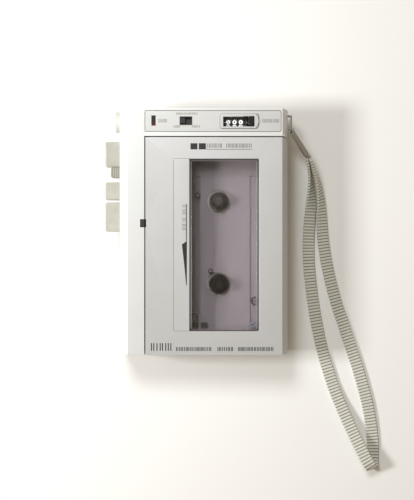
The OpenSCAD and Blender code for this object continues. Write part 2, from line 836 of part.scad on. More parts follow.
module volume_knob() {
    grips = 36;
    color("#e4e3dc") difference() {
        union() {
            rod_x(knob_y, knob_z, -hw - knob_out, -hw + 1.4, knob_r);
            rod_x(knob_y, knob_z, -hw + 1.3, -hw + 4.6, 1.5);
        }
        for (i = [0:grips - 1]) translate([0, knob_y, knob_z]) rotate([360 / grips * i, 0, 0])
            block([-hw - knob_out - 1, -0.2, knob_r - 0.25], [-hw + 0.4, 0.2, far]);
    }
}

module volume_control() {
    color("#6b5a3c") difference() {
        block([-hw + 3, knob_y - 4.6, 13.6], [-hw + 7, knob_y + 3.8, 26]);
        rod_x(knob_y, knob_z, -hw, -hw + 5, 1.55);
    }
}

// ---- Electrics ----

module circuit_board() {
    color("#5f7a3a") difference() {
        union() {
            block([-8, -2.6, 11.6], [40.2, 48.6, 12.8]);
            // components on the upper side
            for (i = [0:4]) block([30.5, 4 + 7 * i, 12.7], [33, 8.4 + 7 * i, 14.6]);
            for (i = [0:3]) rod_z([37, 7 + 9 * i], 12.7, 15.6, 2.2);
            block([-6.5, 22, 12.7], [-1.5, 36, 14.4]);
        }
        rod_z([-8, -2.6], 0, far, 3);
    }
}

module speaker() {
    color("#55524d") union() {
        difference() {
            rod_z(speaker_at, 2.2, 3.6, 18);
            rod_z(speaker_at, 0, far, 15.5);
        }
        difference() {
            translate([speaker_at.x, speaker_at.y, 3.4]) cylinder(h = 4, r1 = 16.5, r2 = 10);
            translate([speaker_at.x, speaker_at.y, 3.3]) cylinder(h = 3.6, r1 = 15.5, r2 = 5);
        }
        rod_z(speaker_at, 6.8, 10.8, 10);
    }
}

module microphone() {
    color("#3a3a3a") difference() {
        rod_y(30, 22, 54, 60.3, 3.4);
        rod_y(30, 22, 59.6, far, 2.8);
    }
}

module signal_jacks() {
    color(dark) for (x = jack_x) difference() {
        union() {
            block([x - 3.3, 51.2, jack_z - 3.6], [x + 3.3, 60.3, jack_z + 3.6]);
            rod_y(x, jack_z, 60, hl, 2.9);
        }
        rod_y(x, jack_z, 51.8, far, 1.8);
    }
}

module power_jack() {
    color(dark) difference() {
        union() {
            block([power_at.x - 4, -60.3, 2.2], [power_at.x + 4, -49.8, 10.1]);
            rod_y(power_at.x, power_at.y, -hl + 0.2, -60, 3.5);
        }
        rod_y(power_at.x, power_at.y, -far, -51.5, 2.75);
        rod_y(power_at.x, power_at.y, -far, -51, 1);
    }
    color(steel) rod_y(power_at.x, power_at.y, -51.2, -50.4, 1);
}

module cell(x, flip) {
    y0 = flip ? cell_y + 1.2 : cell_y;
    rod_y(x, cell_z, y0, y0 + cell_l - 1.2, cell_d / 2);
    rod_y(x, cell_z, flip ? cell_y : cell_y + 1.2, flip ? cell_y + 3 : cell_y + cell_l, 2.7);
}

module batteries() {
    color("#b98a3c") {
        cell(cell_x[0], false);
        cell(cell_x[1], true);
    }
}

module battery_contacts() {
    color(steel) {
        for (x = cell_x) block([x - 5, cell_y + cell_l + 0.05, 3.5], [x + 5, cell_y + cell_l + 0.45, 14.5]);
        block([cell_x[0] - 5, cell_y - 0.6, 3.5], [cell_x[1] + 5, cell_y - 0.1, 14.5]);
    }
}

module battery_cover() {
    color("#b9b8b2") difference() {
        union() {
            block([11.5, -hl, 0], [40.1, -5.5, 1.6]);
            block([10.7, -hl + 5, 0.9], [40.9, -8, 1.6]);
        }
        // thumb grooves
        for (i = [0:5]) block([21, -50 + 1.6 * i, -1], [31, -49.2 + 1.6 * i, 0.4]);
    }
}

// ---- Strap ----

module strap_bail() {
    color("#4a4843") union() {
        for (y = bail_y) rod_x(y, bail_z, hw - wall - 0.4, bail_x, bail_r);
        rod_y(bail_x, bail_z, bail_y[0], bail_y[1], bail_r);
        for (y = bail_y) translate([bail_x, y, bail_z]) sphere(r = bail_r);
    }
}

module strap_ferrule() {
    run = ferrule_to - ferrule_from;
    color(steel) translate(ferrule_from)
        rotate([0, acos(run.z / norm(run)), atan2(run.y, run.x)]) difference() {
            cylinder(h = norm(run), r = ferrule_r);
            translate([0, 0, norm(run) - 3]) cylinder(h = 4, r = ferrule_r - 0.3);
        }
}

function unit(v) = v / norm(v);

// One ring of the webbing: a flat eight-sided section across the route
function strap_ring(i) =
    let (
        p = [for (k = [0:2]) strap_route[i][k]],
        a = strap_route[max(0, i - 1)],
        b = strap_route[min(len(strap_route) - 1, i + 1)],
        run = unit([b.x - a.x, b.y - a.y, b.z - a.z]),
        heading = strap_route[i][3],
        tilt = strap_route[i][4],
        width = [cos(heading) * cos(tilt), sin(heading) * cos(tilt), sin(tilt)],
        through = unit(cross(run, width)),
        across = cross(through, run)
    ) [
        for (c = [[1, 0.5], [0.8, 1], [-0.8, 1], [-1, 0.5], [-1, -0.5], [-0.8, -1], [0.8, -1], [1, -0.5]])
            p + across * c[0] * strap_w / 2 + through * c[1] * strap_t / 2
    ];

module wrist_strap() {
    n = len(strap_route);
    points = [for (i = [0:n - 1]) each strap_ring(i)];
    sides = [for (i = [0:n - 2]) for (k = [0:7]) for (t = [0, 1]) t == 0
        ? [8 * i + k, 8 * i + (k + 1) % 8, 8 * (i + 1) + (k + 1) % 8]
        : [8 * i + k, 8 * (i + 1) + (k + 1) % 8, 8 * (i + 1) + k]];
    color("#a8a79a") polyhedron(
        points = points,
        faces = concat([[for (k = [0:7]) 7 - k]], sides, [[for (k = [0:7]) 8 * (n - 1) + k]])
    );
}

// ---- Assembly ----

front_housing();
rear_housing();
case_screws();
control_plate();
counter_bezel();
counter_glass();
door_shell();
window_lens();
window_side_strip();
cassette_guides();
hinge_pin();
door_latch();
battery_light();
switch_body();
tone_switch_knob();
counter_frame();
counter_shaft();
counter_drum_ones();
counter_drum_tens();
counter_drum_hundreds();
counter_reset_button();
counter_worm();
counter_belt();
deck_plate();
deck_liner();
deck_screws();
spindle_bushes();
supply_spindle();
takeup_spindle();
supply_pulley();
takeup_wheel();
idler_wheel();
flywheel();
capstan_shaft();
capstan_bearing();
motor();
motor_pulley();
drive_belt();
pinch_arm();
pinch_roller();
head_slide();
record_head();
erase_head();
fast_wind_key();
record_key();
play_key();
stop_eject_key();
volume_knob();
volume_control();
circuit_board();
speaker();
microphone();
signal_jacks();
power_jack();
batteries();
battery_contacts();
battery_cover();
strap_bail();
strap_ferrule();
wrist_strap();
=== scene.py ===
# %% [markdown]
# # A portable cassette recorder
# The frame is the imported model: every shell, key and spindle at its real size and place. This script
# gives it its looks. It loads the frame first and keeps its box, so that the size can be compared at
# the end.

# %% Load the frame
import bpy
import bmesh
import json
import math
import random
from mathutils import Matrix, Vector

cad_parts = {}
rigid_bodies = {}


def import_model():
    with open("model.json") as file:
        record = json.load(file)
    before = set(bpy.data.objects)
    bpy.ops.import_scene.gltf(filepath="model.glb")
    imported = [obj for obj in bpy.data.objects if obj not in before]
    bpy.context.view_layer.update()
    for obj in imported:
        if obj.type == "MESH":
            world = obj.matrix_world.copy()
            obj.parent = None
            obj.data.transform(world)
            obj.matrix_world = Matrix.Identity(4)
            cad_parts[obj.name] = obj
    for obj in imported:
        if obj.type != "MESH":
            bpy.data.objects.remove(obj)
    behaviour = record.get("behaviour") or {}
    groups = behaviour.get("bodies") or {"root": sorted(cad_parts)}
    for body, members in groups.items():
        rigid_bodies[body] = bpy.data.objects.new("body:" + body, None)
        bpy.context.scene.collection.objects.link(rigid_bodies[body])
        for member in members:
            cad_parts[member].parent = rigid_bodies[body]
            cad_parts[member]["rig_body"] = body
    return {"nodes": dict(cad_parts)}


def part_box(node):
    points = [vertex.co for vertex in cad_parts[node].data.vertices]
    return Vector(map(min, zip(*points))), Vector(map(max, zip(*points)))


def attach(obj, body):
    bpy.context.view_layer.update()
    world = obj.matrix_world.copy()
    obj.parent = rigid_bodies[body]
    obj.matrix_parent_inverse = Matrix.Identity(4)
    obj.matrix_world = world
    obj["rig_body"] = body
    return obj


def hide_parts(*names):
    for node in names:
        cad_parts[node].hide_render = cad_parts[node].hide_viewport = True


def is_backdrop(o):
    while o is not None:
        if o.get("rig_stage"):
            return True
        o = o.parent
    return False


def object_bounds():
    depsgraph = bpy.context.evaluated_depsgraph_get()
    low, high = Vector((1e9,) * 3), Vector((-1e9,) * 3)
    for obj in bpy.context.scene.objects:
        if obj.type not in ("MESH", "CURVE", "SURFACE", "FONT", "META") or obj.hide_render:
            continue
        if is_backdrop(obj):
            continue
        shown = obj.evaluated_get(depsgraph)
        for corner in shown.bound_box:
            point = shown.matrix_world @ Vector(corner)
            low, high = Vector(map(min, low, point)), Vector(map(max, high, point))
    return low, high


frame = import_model()
cad_box = [list(corner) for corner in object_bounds()]
nodes = frame["nodes"]
MM = 0.001

# %% [markdown]
# ## Small helpers
# Colours are written the way a paint chart gives them, 0 to 255, and turned into the linear light that
# Blender's shaders work in. A piece is made from points in millimetres, because the frame is drawn so.

# %% Colours and piece making
def paint(r, g, b):
    channel = [c / 255 for c in (r, g, b)]
    linear = [c / 12.92 if c <= 0.04045 else ((c + 0.055) / 1.055) ** 2.4 for c in channel]
    return (*linear, 1.0)


def new_piece(name, points, faces, body, smooth=False):
    """A mesh piece from points in millimetres that rides on a body."""
    mesh = bpy.data.meshes.new(name)
    mesh.from_pydata([tuple(c * MM for c in p) for p in points], [], faces)
    mesh.validate()
    mesh.polygons.foreach_set("use_smooth", [smooth] * len(mesh.polygons))
    piece = bpy.data.objects.new(name, mesh)
    bpy.context.scene.collection.objects.link(piece)
    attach(piece, body)
    return piece


def low(node):
    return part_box(node)[0] / MM


def high(node):
    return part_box(node)[1] / MM


face = high("front_housing").z
print("face of the case:", round(face, 2), "mm above the table")

# %% [markdown]
# ## Camera, table and light
# The recorder is looked at from straight above, from a little over 0.6 m. A small light low on the left
# draws long shadows, as a window across the room does. A second light behind the recorder draws a short
# shadow in front of it. The warm light of the room itself fills both shadows. The table is one pale
# sheet.

# %% Camera
camera_data = bpy.data.cameras.new("overhead")
camera_data.lens = 85.4
camera_data.sensor_width = 36
camera = bpy.data.objects.new("overhead", camera_data)
camera.location = (1.55 * MM, -9.3 * MM, 632 * MM)
bpy.context.scene.collection.objects.link(camera)
bpy.context.scene.camera = camera
print("camera:", tuple(round(c, 4) for c in camera.location), "lens", camera_data.lens)

# %% [markdown]
# ## The wrist strap
# The strap is a flat grosgrain webbing: thick cross ribs packed side by side. It leaves the chrome
# ferrule on edge, twists flat onto the table, curls over at its end and comes back. A swept section is
# used instead of a cloth simulation, because a simulation would lose the ribs and the exact length.

# %% Strap route
STRAP_W = 6.2
STRAP_T = 1.6
RIB_PITCH = 1.62
RIB_STEPS = 10
# middle of the webbing in metres, heading of its width, tilt of its width from level
STRAP_ROUTE = [
    (0.0536, 0.0398, 0.0118, 200, 82), (0.0549, 0.035, 0.0094, 198, 78), (0.056, 0.03, 0.0074, 192, 70),
    (0.0566, 0.025, 0.0057, 185, 60), (0.0568, 0.02, 0.0042, 180, 46), (0.0566, 0.014, 0.0029, 176, 30),
    (0.0561, 0.007, 0.0019, 175, 16), (0.0557, 0, 0.0012, 177, 6), (0.0555, -0.008, 0.0009, 180, 0),
    (0.0558, -0.018, 0.0009, 184, 0), (0.0568, -0.028, 0.0009, 187, 0), (0.0581, -0.038, 0.0009, 189, 0),
    (0.0598, -0.048, 0.0009, 191, 0), (0.0623, -0.06, 0.0009, 193, 0), (0.0655, -0.072, 0.0009, 196, 0),
    (0.0695, -0.084, 0.0011, 199, 0), (0.074, -0.095, 0.0022, 203, 0), (0.0784, -0.105, 0.0042, 206, 0),
    (0.0822, -0.113, 0.0063, 208, 0), (0.0848, -0.1184, 0.0076, 208, 0), (0.0868, -0.122, 0.008, 206, 0),
    (0.0881, -0.1238, 0.007, 203, 0), (0.0888, -0.1244, 0.005, 199, 0), (0.0892, -0.1238, 0.003, 194, 0),
    (0.0895, -0.1218, 0.0015, 189, 0), (0.0897, -0.118, 0.0009, 184, 0), (0.0896, -0.111, 0.0009, 184, 0),
    (0.0887, -0.102, 0.0009, 189, 0), (0.087, -0.092, 0.0009, 194, 0), (0.0845, -0.082, 0.0009, 197, 0),
    (0.0813, -0.071, 0.0009, 198, 0), (0.0777, -0.06, 0.0009, 199, 0), (0.0739, -0.048, 0.0009, 199, 0),
    (0.0705, -0.038, 0.0009, 198, 0), (0.0678, -0.028, 0.0009, 196, 0), (0.0655, -0.018, 0.0009, 193, 0),
    (0.0638, -0.008, 0.0011, 188, 5), (0.0629, 0, 0.0016, 184, 15), (0.0625, 0.008, 0.0024, 182, 30),
    (0.0621, 0.015, 0.0035, 184, 48), (0.0613, 0.0215, 0.0049, 190, 62), (0.0598, 0.028, 0.0068, 197, 72),
    (0.0576, 0.034, 0.0092, 203, 78), (0.0553, 0.039, 0.0118, 206, 82),
]


def smooth_route(knots, step):
    """Points a fixed step apart on a curve through the knots, each [place, heading, tilt]."""
    rows = [[x / MM, y / MM, z / MM, heading, tilt] for x, y, z, heading, tilt in knots]
    rows = [[2 * a - b for a, b in zip(rows[0], rows[1])]] + rows
    rows.append([2 * a - b for a, b in zip(rows[-1], rows[-2])])
    fine = []
    for before, a, b, after in zip(rows, rows[1:], rows[2:], rows[3:]):
        for i in range(60):
            t = i / 60
            fine.append([
                0.5 * (2 * p1 + (p2 - p0) * t + (2 * p0 - 5 * p1 + 4 * p2 - p3) * t * t
                       + (3 * p1 - p0 - 3 * p2 + p3) * t ** 3)
                for p0, p1, p2, p3 in zip(before, a, b, after)
            ])
    fine.append(rows[-2])
    out = [fine[0]]
    spare = 0.0
    for a, b in zip(fine, fine[1:]):
        gap = (Vector(b[:3]) - Vector(a[:3])).length
        spare += gap
        while spare >= step and gap > 0:
            spare -= step
            t = 1 - spare / gap
            out.append([p + (q - p) * t for p, q in zip(a, b)])
    return out


strap_line = smooth_route(STRAP_ROUTE, RIB_PITCH / RIB_STEPS)

# %% [markdown]
# Each ring of the sweep is a flat rounded section. Along the strap its thickness follows the ribs, high on
# a crown and pinched between two crowns, and across it the crowns are split by the warp threads that bind
# them. How deep each point lies is stored with the mesh, so that the material can darken the grooves as
# painted shade.

# %% Strap mesh
def strap_section(count_across=22, count_edge=3):
    """(across, through) pairs round a flat section with round edges, both from -1 to 1."""
    top = [(1 - 2 * i / count_across, 1.0) for i in range(count_across + 1)]
    left = [(-1 - 0.09 * math.sin(math.pi * i / (count_edge + 1)), math.cos(math.pi * i / (count_edge + 1)))
            for i in range(1, count_edge + 1)]
    bottom = [(-a, -1.0) for a, _ in top]
    right = [(-a, -t) for a, t in left]
    return top + left + bottom + right


def build_strap():
    section = strap_section()
    points, groove_shade = [], []
    for i, row in enumerate(strap_line):
        here = Vector(row[:3])
        ahead = Vector(strap_line[min(i + 1, len(strap_line) - 1)][:3])
        behind = Vector(strap_line[max(i - 1, 0)][:3])
        run = (ahead - behind).normalized()
        heading, tilt = math.radians(row[3]), math.radians(row[4])
        flat = Vector((math.cos(heading), math.sin(heading), 0)) * math.cos(tilt)
        width = flat + Vector((0, 0, math.sin(tilt)))
        through = run.cross(width).normalized()
        across = through.cross(run)
        rib = i % RIB_STEPS / RIB_STEPS
        crown = math.sin(math.pi * rib) ** 0.55
        for a, t in section:
            warp = 0.5 + 0.5 * math.cos(a * math.pi * 11)
            groove = 1 - crown
            lift = STRAP_T / 2 * (0.97 - 0.36 * groove - 0.06 * (1 - warp) * crown)
            side = STRAP_W / 2 * (0.915 - 0.02 * groove)
            points.append(here + across * a * side + through * t * lift)
            # how deep the point lies, kept for the painted shade in the grooves
            groove_shade.append(min(1.0, groove + 0.18 * (1 - warp)))
    n = len(section)
    faces = [
        (n * i + k, n * i + (k + 1) % n, n * (i + 1) + (k + 1) % n, n * (i + 1) + k)
        for i in range(len(strap_line) - 1) for k in range(n)
    ]
    faces.append(tuple(reversed(range(n))))
    faces.append(tuple(n * (len(strap_line) - 1) + k for k in range(n)))
    piece = new_piece("strap_webbing", points, faces, "case", smooth=True)
    mesh = piece.data
    store = mesh.attributes.new("groove", "FLOAT", "POINT")
    store.data.foreach_set("value", groove_shade)
    return piece


strap = build_strap()
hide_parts("wrist_strap")
print("strap mesh:", len(strap.data.vertices), "points")

# %% Table and lights
def area_light(name, place, aim, size, power, colour):
    lamp = bpy.data.lights.new(name, "AREA")
    lamp.shape = "RECTANGLE"
    lamp.size, lamp.size_y = size
    lamp.energy = power
    lamp.color = colour
    light = bpy.data.objects.new(name, lamp)
    light.location = place
    light.rotation_euler = (Vector(aim) - Vector(place)).to_track_quat("-Z", "Y").to_euler()
    bpy.context.scene.collection.objects.link(light)


area_light("window", (-0.48, -0.02, 0.43), (0, 0, 0), (0.13, 0.13), 3.1, (0.975, 0.985, 1.0))
area_light("ceiling", (-0.15, 0.30, 0.62), (0, 0.02, 0), (0.22, 0.2), 2.3, (0.93, 0.97, 1.0))

world = bpy.data.worlds.new("room")
bpy.context.scene.world = world
world.use_nodes = True
sky = world.node_tree.nodes["Background"]
sky.inputs["Color"].default_value = (1.0, 0.85, 0.64, 1)
sky.inputs["Strength"].default_value = 0.3
bpy.context.scene.view_settings.view_transform = "Standard"

table_mesh = bpy.data.meshes.new("table")
table_mesh.from_pydata([(-3, -3, 0), (3, -3, 0), (3, 3, 0), (-3, 3, 0)], [], [(0, 1, 2, 3)])
table = bpy.data.objects.new("table", table_mesh)
bpy.context.scene.collection.objects.link(table)
table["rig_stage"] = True
print("lights and table made")

# %% [markdown]
# ## Shared finishes
# Three effects return in many materials, so each is a node group with its own inputs. Mottle varies a
# colour and a roughness a little from place to place, as any real surface does. Grain gives a fine
# height for plastic that came from an etched mould or paint that was sprayed. Edge wear finds the
# outward edges, where hands rub.

# %% Node groups
def group(name, inputs, outputs):
    tree = bpy.data.node_groups.new(name, "ShaderNodeTree")
    for socket, kind, value in inputs:
        made = tree.interface.new_socket(socket, in_out="INPUT", socket_type=kind)
        if value is not None:
            made.default_value = value
    for socket, kind in outputs:
        tree.interface.new_socket(socket, in_out="OUTPUT", socket_type=kind)
    return tree, tree.nodes.new("NodeGroupInput"), tree.nodes.new("NodeGroupOutput")


def add(tree, kind, **settings):
    """A node with its settings; keys of the form in_N set its inputs."""
    made = tree.nodes.new(kind)
    for key, value in settings.items():
        if key.startswith("in_"):
            made.inputs[int(key[3:])].default_value = value
        else:
            setattr(made, key, value)
    return made


FLOAT, COLOUR = "NodeSocketFloat", "NodeSocketColor"

mottle, m_in, m_out = group(
    "mottle",
    [("Colour", COLOUR, (0.5, 0.5, 0.5, 1)), ("Amount", FLOAT, 0.06), ("Scale", FLOAT, 60.0),
     ("Roughness", FLOAT, 0.4), ("Roughness Swing", FLOAT, 0.06)],
    [("Colour", COLOUR), ("Roughness", FLOAT)],
)
coordinate = add(mottle, "ShaderNodeTexCoord")
noise = add(mottle, "ShaderNodeTexNoise", in_3=6.0, in_4=0.6)
mottle.links.new(coordinate.outputs["Object"], noise.inputs["Vector"])
mottle.links.new(m_in.outputs["Scale"], noise.inputs["Scale"])
centred = add(mottle, "ShaderNodeMath", operation="SUBTRACT", in_1=0.5)
mottle.links.new(noise.outputs["Fac"], centred.inputs[0])
swing = add(mottle, "ShaderNodeMath", operation="MULTIPLY_ADD", in_2=1.0)
mottle.links.new(centred.outputs[0], swing.inputs[0])
mottle.links.new(m_in.outputs["Amount"], swing.inputs[1])
tinted = add(mottle, "ShaderNodeVectorMath", operation="SCALE")
mottle.links.new(m_in.outputs["Colour"], tinted.inputs[0])
mottle.links.new(swing.outputs[0], tinted.inputs["Scale"])
mottle.links.new(tinted.outputs[0], m_out.inputs["Colour"])
rough = add(mottle, "ShaderNodeMath", operation="MULTIPLY_ADD")
mottle.links.new(centred.outputs[0], rough.inputs[0])
mottle.links.new(m_in.outputs["Roughness Swing"], rough.inputs[1])
mottle.links.new(m_in.outputs["Roughness"], rough.inputs[2])
mottle.links.new(rough.outputs[0], m_out.inputs["Roughness"])

grain, g_in, g_out = group(
    "grain",
    [("Scale", FLOAT, 3000.0), ("Stretch X", FLOAT, 1.0), ("Stretch Y", FLOAT, 1.0)],
    [("Height", FLOAT)],
)
g_place = add(grain, "ShaderNodeTexCoord")
g_stretch = add(grain, "ShaderNodeCombineXYZ", in_2=1.0)
grain.links.new(g_in.outputs["Stretch X"], g_stretch.inputs[0])
grain.links.new(g_in.outputs["Stretch Y"], g_stretch.inputs[1])
g_vector = add(grain, "ShaderNodeVectorMath", operation="MULTIPLY")
grain.links.new(g_place.outputs["Object"], g_vector.inputs[0])
grain.links.new(g_stretch.outputs[0], g_vector.inputs[1])
g_noise = add(grain, "ShaderNodeTexNoise", in_3=2.0, in_4=0.5)
grain.links.new(g_vector.outputs[0], g_noise.inputs["Vector"])
grain.links.new(g_in.outputs["Scale"], g_noise.inputs["Scale"])
grain.links.new(g_noise.outputs["Fac"], g_out.inputs["Height"])

wear, w_in, w_out = group(
    "edge wear", [("Sharpness", FLOAT, 12.0), ("Amount", FLOAT, 0.4)], [("Mask", FLOAT)]
)
geometry = add(wear, "ShaderNodeNewGeometry")
above = add(wear, "ShaderNodeMath", operation="SUBTRACT", in_1=0.52)
wear.links.new(geometry.outputs["Pointiness"], above.inputs[0])
steep = add(wear, "ShaderNodeMath", operation="MULTIPLY", use_clamp=True)
wear.links.new(above.outputs[0], steep.inputs[0])
wear.links.new(w_in.outputs["Sharpness"], steep.inputs[1])
w_place = add(wear, "ShaderNodeTexCoord")
patch = add(wear, "ShaderNodeTexNoise", in_2=240.0, in_3=5.0)
wear.links.new(w_place.outputs["Object"], patch.inputs["Vector"])
broken = add(wear, "ShaderNodeMath", operation="MULTIPLY")
wear.links.new(steep.outputs[0], broken.inputs[0])
wear.links.new(patch.outputs["Fac"], broken.inputs[1])
level = add(wear, "ShaderNodeMath", operation="MULTIPLY", use_clamp=True)
wear.links.new(broken.outputs[0], level.inputs[0])
wear.links.new(w_in.outputs["Amount"], level.inputs[1])
wear.links.new(level.outputs[0], w_out.inputs["Mask"])
print("groups:", [g.name for g in bpy.data.node_groups])

# %% [markdown]
# ## A finish maker
# Most of the recorder is moulded plastic, painted or plain, or plated metal. They differ in colour,
# gloss, grain and how they wear, so one maker builds them all from those values and keeps the shader in
# the material itself.

# %% Finish maker
def finish(name, colour, roughness, metallic=0.0, mottling=0.05, mottle_scale=60.0, swing=0.08,
           grain_scale=2600.0, grain_depth=0.08, stretch=(1, 1), worn=None, wear_amount=0.5, coat=0.0,
           specular=0.5):
    """A material; worn is the colour of rubbed edges, and stretch draws the grain out along X or Y."""
    made = bpy.data.materials.new(name)
    made.use_nodes = True
    tree = made.node_tree
    shader = tree.nodes["Principled BSDF"]
    shader.inputs["Metallic"].default_value = metallic
    shader.inputs["Specular IOR Level"].default_value = specular
    shader.inputs["Coat Weight"].default_value = coat
    shader.inputs["Coat Roughness"].default_value = 0.08
    look = add(tree, "ShaderNodeGroup", node_tree=mottle)
    look.inputs["Colour"].default_value = colour
    look.inputs["Amount"].default_value = mottling
    look.inputs["Scale"].default_value = mottle_scale
    look.inputs["Roughness"].default_value = roughness
    look.inputs["Roughness Swing"].default_value = swing
    shade = look.outputs["Colour"]
    if worn:
        mask = add(tree, "ShaderNodeGroup", node_tree=wear)
        mask.inputs["Amount"].default_value = wear_amount
        rubbed = add(tree, "ShaderNodeMix", data_type="RGBA")
        tree.links.new(mask.outputs["Mask"], rubbed.inputs[0])
        tree.links.new(shade, rubbed.inputs[6])
        rubbed.inputs[7].default_value = worn
        shade = rubbed.outputs[2]
    tree.links.new(shade, shader.inputs["Base Color"])
    tree.links.new(look.outputs["Roughness"], shader.inputs["Roughness"])
    fine = add(tree, "ShaderNodeGroup", node_tree=grain)
    fine.inputs["Scale"].default_value = grain_scale
    fine.inputs["Stretch X"].default_value = stretch[0]
    fine.inputs["Stretch Y"].default_value = stretch[1]
    bump = add(tree, "ShaderNodeBump")
    bump.inputs["Strength"].default_value = grain_depth
    bump.inputs["Distance"].default_value = 0.0002
    tree.links.new(fine.outputs["Height"], bump.inputs["Height"])
    tree.links.new(bump.outputs["Normal"], shader.inputs["Normal"])
    return made


satin = finish("satin silver paint, door", paint(200, 200, 200), 0.4, metallic=0.3, mottling=0.03,
               grain_scale=4200, grain_depth=0.05, worn=paint(176, 174, 168), wear_amount=0.35)
satin_light = finish("satin silver paint, case", paint(218, 219, 218), 0.42, metallic=0.2, mottling=0.03,
                     grain_scale=4200, grain_depth=0.05, worn=paint(190, 188, 182), wear_amount=0.35)
rear_plastic = finish("rear shell plastic", paint(168, 163, 147), 0.5, metallic=0.15, mottling=0.05,
                      grain_scale=2400, grain_depth=0.22, worn=paint(205, 203, 196))
brushed_plate = finish("brushed control plate", paint(200, 200, 198), 0.38, metallic=0.25, mottling=0.03,
                       grain_scale=900, grain_depth=0.12, stretch=(0.05, 6))
black_plastic = finish("black moulded plastic", paint(30, 28, 27), 0.42, mottling=0.2, grain_depth=0.2,
                       worn=paint(70, 66, 62))
black_gloss = finish("polished black plastic", paint(22, 20, 19), 0.22, mottling=0.15, grain_depth=0.03,
                     worn=paint(64, 60, 56), coat=0.2)
key_plastic = finish("warm grey key plastic", paint(166, 165, 153), 0.45, mottling=0.05, grain_depth=0.15,
                     worn=paint(226, 223, 212))
key_dark = finish("darker key plastic", paint(158, 154, 142), 0.45, mottling=0.06, grain_depth=0.15,
                  worn=paint(206, 203, 192))
pale_plastic = finish("near white plastic", paint(218, 217, 210), 0.42, mottling=0.04, grain_depth=0.1)
well_plastic = finish("mauve well moulding", paint(124, 117, 118), 0.5, mottling=0.06, mottle_scale=90,
                      grain_depth=0.25)
steel = finish("plated steel", paint(170, 168, 163), 0.32, metallic=0.9, mottling=0.08, grain_scale=1500,
               grain_depth=0.08, stretch=(1, 8))
chrome = finish("chrome", paint(214, 212, 210), 0.1, metallic=1.0, mottling=0.03, grain_depth=0.01)
brass = finish("turned brass", paint(190, 160, 104), 0.3, metallic=0.9, mottling=0.08, grain_depth=0.05)
rubber = finish("black rubber", paint(34, 33, 32), 0.75, mottling=0.2, grain_depth=0.3)
nylon = finish("white nylon", paint(222, 218, 206), 0.4, mottling=0.04, grain_depth=0.08)
board = finish("green circuit board", paint(58, 92, 48), 0.35, mottling=0.2, mottle_scale=200,
               grain_depth=0.1)
cell_film = finish("battery film", paint(176, 128, 58), 0.25, mottling=0.1, grain_depth=0.03, coat=0.4)
ink = finish("printed black ink", paint(26, 25, 24), 0.5, mottling=0.2, grain_depth=0.05)
grey_ink = finish("printed grey ink", paint(100, 97, 93), 0.5, mottling=0.1, grain_depth=0.05)
figure_ink = finish("white figure ink", paint(240, 240, 236), 0.5, mottling=0.04, grain_depth=0.05)
red_lens = finish("dark red lens", paint(78, 32, 27), 0.2, mottling=0.3, grain_depth=0.03, coat=0.3)
spindle_black = finish("black spindle plastic", paint(9, 8, 8), 0.5, mottling=0.2, grain_depth=0.05,
                       specular=0.15)
spindle_grey = finish("dull spindle plastic", paint(52, 46, 43), 0.55, mottling=0.25, mottle_scale=300,
                      grain_depth=0.08, specular=0.2)
screw_dull = finish("dull screw steel", paint(112, 101, 103), 0.5, metallic=0.3, mottling=0.1,
                    grain_depth=0.06)
table_top = finish("pale table", paint(247, 246, 244), 0.6, mottling=0.01, mottle_scale=4, swing=0.02,
                   grain_depth=0.02)
table_mesh.materials.append(table_top)
print("finishes:", len(bpy.data.materials))

# %% [markdown]
# Clear plastic needs a trick. A real lens lets daylight through to what lies behind it, but a ray
# tracer's shadow rays stop at glass. So the shader swaps to a plain tinted see-through surface for
# shadow rays only.

# %% Clear plastics
def clear_plastic(name, tint, roughness=0.03):
    made = bpy.data.materials.new(name)
    made.use_nodes = True
    tree = made.node_tree
    shader = tree.nodes["Principled BSDF"]
    shader.inputs["Base Color"].default_value = tint
    shader.inputs["Transmission Weight"].default_value = 1.0
    shader.inputs["IOR"].default_value = 1.49
    fine = add(tree, "ShaderNodeTexNoise", in_2=90.0, in_3=3.0)
    place = add(tree, "ShaderNodeTexCoord")
    tree.links.new(place.outputs["Object"], fine.inputs["Vector"])
    spread = add(tree, "ShaderNodeMapRange")
    spread.inputs["To Min"].default_value = roughness * 0.5
    spread.inputs["To Max"].default_value = roughness * 1.8
    tree.links.new(fine.outputs["Fac"], spread.inputs["Value"])
    tree.links.new(spread.outputs[0], shader.inputs["Roughness"])
    through = add(tree, "ShaderNodeBsdfTransparent", in_0=tint)
    path = add(tree, "ShaderNodeLightPath")
    both = add(tree, "ShaderNodeMixShader")
    tree.links.new(path.outputs["Is Shadow Ray"], both.inputs[0])
    tree.links.new(shader.outputs[0], both.inputs[1])
    tree.links.new(through.outputs[0], both.inputs[2])
    tree.links.new(both.outputs[0], tree.nodes["Material Output"].inputs["Surface"])
    return made


lens_plastic = clear_plastic("tinted window plastic", (0.89, 0.87, 0.885, 1))
smoked_plastic = clear_plastic("smoked counter plastic", (0.86, 0.86, 0.88, 1))
